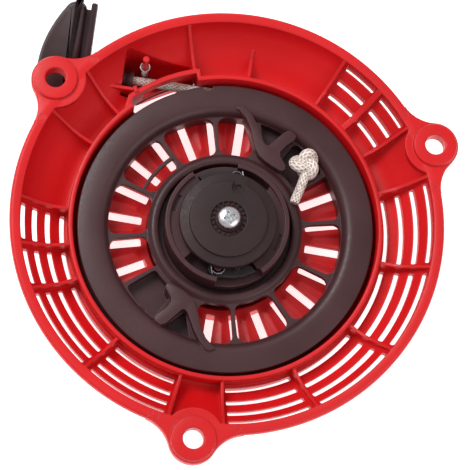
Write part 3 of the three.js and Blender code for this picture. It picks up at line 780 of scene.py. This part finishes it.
def round_corners(points, radius):
    """Rounds each corner sharper than 40 degrees of a closed outline."""
    out = []
    n = len(points)
    for i, p in enumerate(points):
        a, b = Vector(points[i - 1]), Vector(points[(i + 1) % n])
        c = Vector(p)
        u, v = (a - c), (b - c)
        angle = math.pi - u.angle(v)
        if angle < math.radians(40):
            out.append(tuple(c))
            continue
        u_far = walk(points, i, -1, radius)
        v_far = walk(points, i, 1, radius)
        for k in range(7):
            t = k / 6
            q = u_far * (1 - t) ** 2 + c * 2 * t * (1 - t) + v_far * t ** 2
            out.append(tuple(q))
    return drop_near(out)


def walk(points, i, way, distance):
    """The point at a distance from corner i towards the next one that way."""
    c = Vector(points[i])
    nxt = Vector(points[(i + way) % len(points)])
    return c + (nxt - c).normalized() * min(distance, (nxt - c).length * 0.98)


def drop_near(out):
    """Leaves out each point that nearly repeats the one before."""
    clean = []
    for p in out:
        if not clean or math.dist(p, clean[-1]) > 0.02:
            clean.append(p)
    if math.dist(clean[0], clean[-1]) < 0.02:
        clean.pop()
    return clean


POCKET_LOW, WELL_LOW = 18.3, 20.2


def star_group(body):
    """The deep wells and crossing walls beside the rope's knot, and the same again opposite."""
    in_drum = disc(0, 0, DRUM_IN + 0.8, 0, 60, 128)
    fill = sector(32.6, DRUM_IN + 0.5, 29, 66.5, POCKET_LOW, WEB_TOP, 0.2)
    plate = [polar(38, 60), polar(52, 56), polar(52, 79.5), polar(46.5, 74), polar(41, 69)]
    floor_plate = keep(prism(plate, POCKET_LOW, WEB_TOP), copy_of(in_drum))
    knot_well = sector(35, 49.6, 31.2, 51.4, WELL_LOW, 40, 1.6)
    corner = [polar(40.4, 64.6), polar(50.1, 58.4), polar(50.2, 62), polar(50.2, 67), polar(50.1, 71.4)]
    back_well = prism(corner, WELL_LOW, 40)
    to_knot = Matrix.Translation((0, 0, ROPE_Z + 0.6)) @ Matrix.Rotation(math.radians(45), 4, "Z")
    rope_hole = turned_about(along_x([[0, 47], [2.2, 47], [2.2, 54], [0, 54]], 24), to_knot)
    for tool in (fill, floor_plate):
        add(body, *copies(tool, BOTH_SIDES))
    for tool in (knot_well, back_well, rope_hole):
        cut(body, *copies(tool, BOTH_SIDES))
    arms = rounded_top(star_outline(), 19.6, RIM_TOP + 1.0, 0.5)
    inside = keep(copy_of(arms), in_drum)
    over_rim = keep(arms, disc(0, 0, 70, RIM_TOP - 2.2, 60, 128))
    for tool in (inside, over_rim):
        add(body, *copies(tool, BOTH_SIDES))


def star_outline():
    """The arm along the rope and the arm to the rim, blended where they meet at the hub."""
    hub_to_tip = ((34.2, 47), (33.6, 54), (33.8, 60), (34.9, 65.6), (37.2, 69.6), (40.5, 72.6), (45, 75.6),
                  (49.5, 79.4), (52.4, 83.2))
    long_tip = ((53.2, 84.6), (54.0, 84.0), (55.0, 81.6), (54.6, 80.2))
    between = ((51.6, 76.6), (47.6, 72.6), (43.6, 68.6), (41.2, 65.6), (40.7, 63.4), (41.4, 62.2),
               (44.6, 60.8), (49.4, 58.8))
    short_tip = ((51.0, 57.8), (51.8, 56.4), (51.6, 53.6), (50.8, 52.4), (48.6, 52.4))
    back = ((44.6, 54.0), (41.2, 54.6), (39.4, 52.6), (38.6, 49.4), (37.8, 46.4), (36.4, 44.8), (35.2, 45.2))
    return [polar(r, az) for r, az in (*hub_to_tip, *long_tip, *between, *short_tip, *back)]


def build_reel():
    body = lathe(REEL_PROFILE, 192)
    cut(body, reel_windows())
    star_group(body)
    pawl_well = sector(WELL_R, HUB_IN, 40, 122, WELL_FLOOR, 50, 1.0)
    gate = sector(HUB_IN - 1, HUB_R + 1, 79, 124, WELL_FLOOR, 50)
    shallow_slot = sector(22.2, HUB_IN - 0.6, 149, 168, HUB_TOP - 1.2, 50)
    for tool in (pawl_well, gate, shallow_slot):
        cut(body, *copies(tool, BOTH_SIDES))
    pawl_pin = disc(*polar(20, 78), 2, WELL_FLOOR - 1, 38, 24, 1.8)
    add(body, *copies(pawl_pin, BOTH_SIDES))
    bridge = sector(38.2, 39.6, 125, 154, 23, WEB_TOP, 0.2)
    add(body, bridge)
    rim_notch = disc(*polar(63.6, 96.5), 2.2, 26, 40, 24)
    cut(body, rim_notch)
    return finish_piece(body, "reel_moulding", "reel", ["reel"], BLACK)


# ---------- ratchet guide, screw ----------
def build_guide():
    body = lathe([[2.6, 37.3], [7.4, 37.3], [7.4, 38], [10.4, 38], [10.4, 39], [20.7, 39], [20.7, 41.2],
                  [20.5, 41.65], [20.1, 41.8], [17, 41.8], [16.6, 42], [16.5, 42.4], [16.5, 43.1],
                  [16.3, 43.35], [16, 43.4], [7.9, 43.4], [7.6, 43.2], [7.4, 42.2], [5.9, 42.2], [5.7, 43],
                  [5.4, 43.3], [2.6, 43.3]], 96)
    notch = disc(*polar(14.6, 72), 3, 41.8, 45, 32)
    hollow = disc(*polar(14.6, 72), 1.5, 40.9, 45, 24)
    cut(body, notch, hollow)
    teeth = [bar(polar(6.1, a), polar(7.6, a), 0.45, 41.9, 43.1) for a in range(0, 360, 18)]
    add(body, merged(teeth))
    lug = sector(13.4, 15.4, 84, 100, 33, 39.4, 0.4)
    add(body, *copies(lug, BOTH_SIDES))
    return finish_piece(body, "guide_moulding", "ratchet_guide", ["ratchet_guide"], HUB_BLACK)


def build_screw():
    seat = 43.7
    head = ((5, 0), (5, 1.2), (4.85, 1.9), (4.4, 2.5), (3.7, 2.95), (2.8, 3.25), (1.5, 3.42), (0, 3.45))
    body = lathe([[0, 14.5], [1.3, 15], [1.8, 16.2], [1.8, seat], *[[r, seat + up] for r, up in head]], 64)
    for turn in (20, 110):
        recess = bar(polar(-2.5, turn), polar(2.5, turn), 1.15, seat + 1.7, seat + 5)
        cut(body, recess)
    return finish_piece(body, "screw_head", "case", ["setting_screw"], ZINC, 25)


# ---------- rope ----------
CORD_HALF = 1.9
WIND_R, WIND_OUT, WIND_Z, WIND_UP = 54.2, 3.4, 21.6, 3.8


def trefoil(count):
    """The points of a trefoil knot that lies flat, with its crossings in z."""
    points = []
    for i in range(count):
        t = TAU * i / count
        points.append((math.sin(t) + 2 * math.sin(2 * t), math.cos(t) - 2 * math.cos(2 * t), math.sin(3 * t)))
    return points


def build_rope():
    stations = (0, 12, 24, 36, 48, 60, GRIP_FROM + 11.5)
    run = tube([(s, 0, 0) for s in stations], CORD_HALF, 16)
    run = on_rope(run)
    finish_piece(run, "cord_run", None, ["rope_run"], CORD)
    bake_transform(run)
    turns = []
    for layer, row in ((0, 0), (0, 1), (1, 0), (1, 1)):
        r = WIND_R + WIND_OUT * layer
        z = WIND_Z + WIND_UP * row
        loop = [(*polar(r, 360 * i / 72), z) for i in range(72)]
        turns.append(tube(loop, 1.85, 12, closed=True, per_span=3))
    finish_piece(merged(turns), "cord_winding", "reel", ["rope_winding"], CORD)


def build_knot():
    centre = Vector((34.6, 28.0, 31.0))
    size, high, thick = 1.62, -1.35, 2.35
    turn = Matrix.Rotation(math.radians(25), 4, "Z")
    points = [turn @ (Vector((x, y, high * z)) * size) + centre for x, y, z in trefoil(36)]
    knot = tube(points, thick, 16, closed=True, per_span=4)
    finish_piece(knot, "cord_knot", "reel", ["rope_knot"], CORD)
    route = [(34.6, 24.0, 31.6), (33.4, 20.4, 31.0), (32.0, 16.8, 30.1), (30.4, 13.2, 29.6),
             (29.6, 11.0, 29.5)]
    tail = tube(route, 2.05, 16, per_span=5)
    finish_piece(tail, "cord_tail", "reel", ["rope_tail"], CORD)


# ---------- grip ----------
def grip_slab(x0, x1, inset, radius):
    """A slab across the rope whose far side bulges and whose edges are rounded."""
    end, tall = GRIP_HALF - inset, GRIP_HIGH - inset
    ys = [end * k / 12 for k in range(-12, 13)]
    depths = [GRIP_DEPTH - inset - (GRIP_DEPTH - GRIP_END_DEPTH) * (y / GRIP_HALF) ** 2 for y in ys]
    far = [(min(x1, depth), y) for depth, y in zip(depths, ys)]
    outline = round_corners([(x0, -end), (x0, end)] + far[::-1], radius * 1.6)
    top = rounded_top(outline, 0, tall, radius)
    low = copy_of(top)
    turned_about(low, Matrix.Scale(-1, 4, (0, 0, 1)))
    return add(top, low)


def build_grip():
    body = grip_slab(0, GRIP_FLANGE, 0, 0.6)
    add(body, grip_slab(0.6, 7, 3.0, 0.5), grip_slab(GRIP_FLANGE + GRIP_GROOVE, GRIP_DEPTH, 0, 2.6))
    out = GRIP_DEPTH + 1
    cut(body, along_x([[0, -1], [2.3, -1], [2.3, 12], [4.6, 12.02], [5.2, out], [0, out]], 40))
    roll = Matrix.Rotation(math.radians(GRIP_ROLL), 4, "X")
    turned_about(body, Matrix.Translation((GRIP_FROM, 0, 0)) @ roll)
    on_rope(body)
    finish_piece(body, "grip_moulding", "handle", ["grip"], GRIP_BLACK)
    size, high, middle = 0.85, 0.9, 15 + GRIP_FROM
    points = [(middle + high * z, size * x, size * y) for x, y, z in trefoil(30)]
    knot = on_rope(tube(points, 1.5, 12, closed=True, per_span=4))
    finish_piece(knot, "grip_cord_knot", "handle", ["grip_knot"], CORD)


def dress_cad():
    """CAD nodes whose shape is right keep it and get their material."""
    for node, material in (("guide_sleeve", TUBE_STEEL), ("recoil_spring", SPRING_STEEL),
                           ("friction_spring", SPRING_STEEL), ("pawl_spring_a", SPRING_STEEL),
                           ("pawl_spring_b", SPRING_STEEL), ("pawl_a", PAWL_GREY), ("pawl_b", PAWL_GREY),
                           ("rope_guide_bush", BLACK)):
        obj = frame["nodes"][node]
        obj.data.materials.clear()
        obj.data.materials.append(material)


# ---------- scene ----------
FOCUS = Vector((0, 0, CASE_HIGH.z * MM))
CAM_TILT, CAM_AZ, CAM_DISTANCE = 15.5, 250.0, 0.9
CAM_ASIDE, CAM_UP = 0.00239, -0.0076
VIEW_WIDTH = 0.1974


def camera():
    tilt, az = math.radians(CAM_TILT), math.radians(CAM_AZ)
    back = Vector((math.cos(az) * math.sin(tilt), math.sin(az) * math.sin(tilt), math.cos(tilt)))
    turn = Vector((0, 0, 1)).rotation_difference(back).to_matrix()
    right, up = turn @ Vector((1, 0, 0)), turn @ Vector((0, 1, 0))
    data = bpy.data.cameras.new("camera")
    data.sensor_width = 36
    data.lens = data.sensor_width * CAM_DISTANCE / VIEW_WIDTH
    data.clip_start, data.clip_end = 0.01, 20
    obj = bpy.data.objects.new("camera", data)
    place = FOCUS + back * CAM_DISTANCE + right * CAM_ASIDE + up * CAM_UP
    obj.matrix_world = Matrix.Translation(place) @ turn.to_4x4()
    bpy.context.scene.collection.objects.link(obj)
    bpy.context.scene.camera = obj


def area_light(name, place, size, power, aim=(0, 0, 0.03)):
    data = bpy.data.lights.new(name, "AREA")
    data.shape = "SQUARE"
    data.size = size
    data.energy = power
    obj = bpy.data.objects.new(name, data)
    obj.location = place
    obj.rotation_euler = (Vector(aim) - Vector(place)).to_track_quat("-Z", "Y").to_euler()
    bpy.context.scene.collection.objects.link(obj)


def lights():
    """Soft studio light, shown with plain colours, so that the reds keep their depth."""
    bpy.context.scene.view_settings.view_transform = "Standard"
    world = bpy.data.worlds.new("studio")
    bpy.context.scene.world = world
    world.use_nodes = True
    world.node_tree.nodes["Background"].inputs["Color"].default_value = (1, 1, 1, 1)
    world.node_tree.nodes["Background"].inputs["Strength"].default_value = 0.52
    area_light("key", (-0.5, 0.45, 0.9), 0.5, 8.2)
    area_light("fill", (0.6, -0.5, 0.8), 0.8, 3.2)


def floor():
    """A pale floor that glows a little, so that it shows white through the vents."""
    bm = bmesh.new()
    bmesh.ops.create_grid(bm, x_segments=2, y_segments=2, size=3.0)
    obj = to_object("floor", bm)
    obj.location.z = cad_bounds[0][2] - 0.0002
    n = Nodes("floor_pale", Roughness=0.9)
    n.link(n.colours(n.noise(3.0), (0.93, 0.93, 0.93), (0.95, 0.95, 0.95)), n.shader.inputs["Base Color"])
    n.shader.inputs["Emission Color"].default_value = (1, 1, 1, 1)
    n.shader.inputs["Emission Strength"].default_value = 0.75
    obj.data.materials.append(n.material)


dress_cad()
build_case()
build_reel()
build_guide()
build_screw()
build_rope()
build_knot()
build_grip()
camera()
lights()
floor()
bpy.context.view_layer.update()
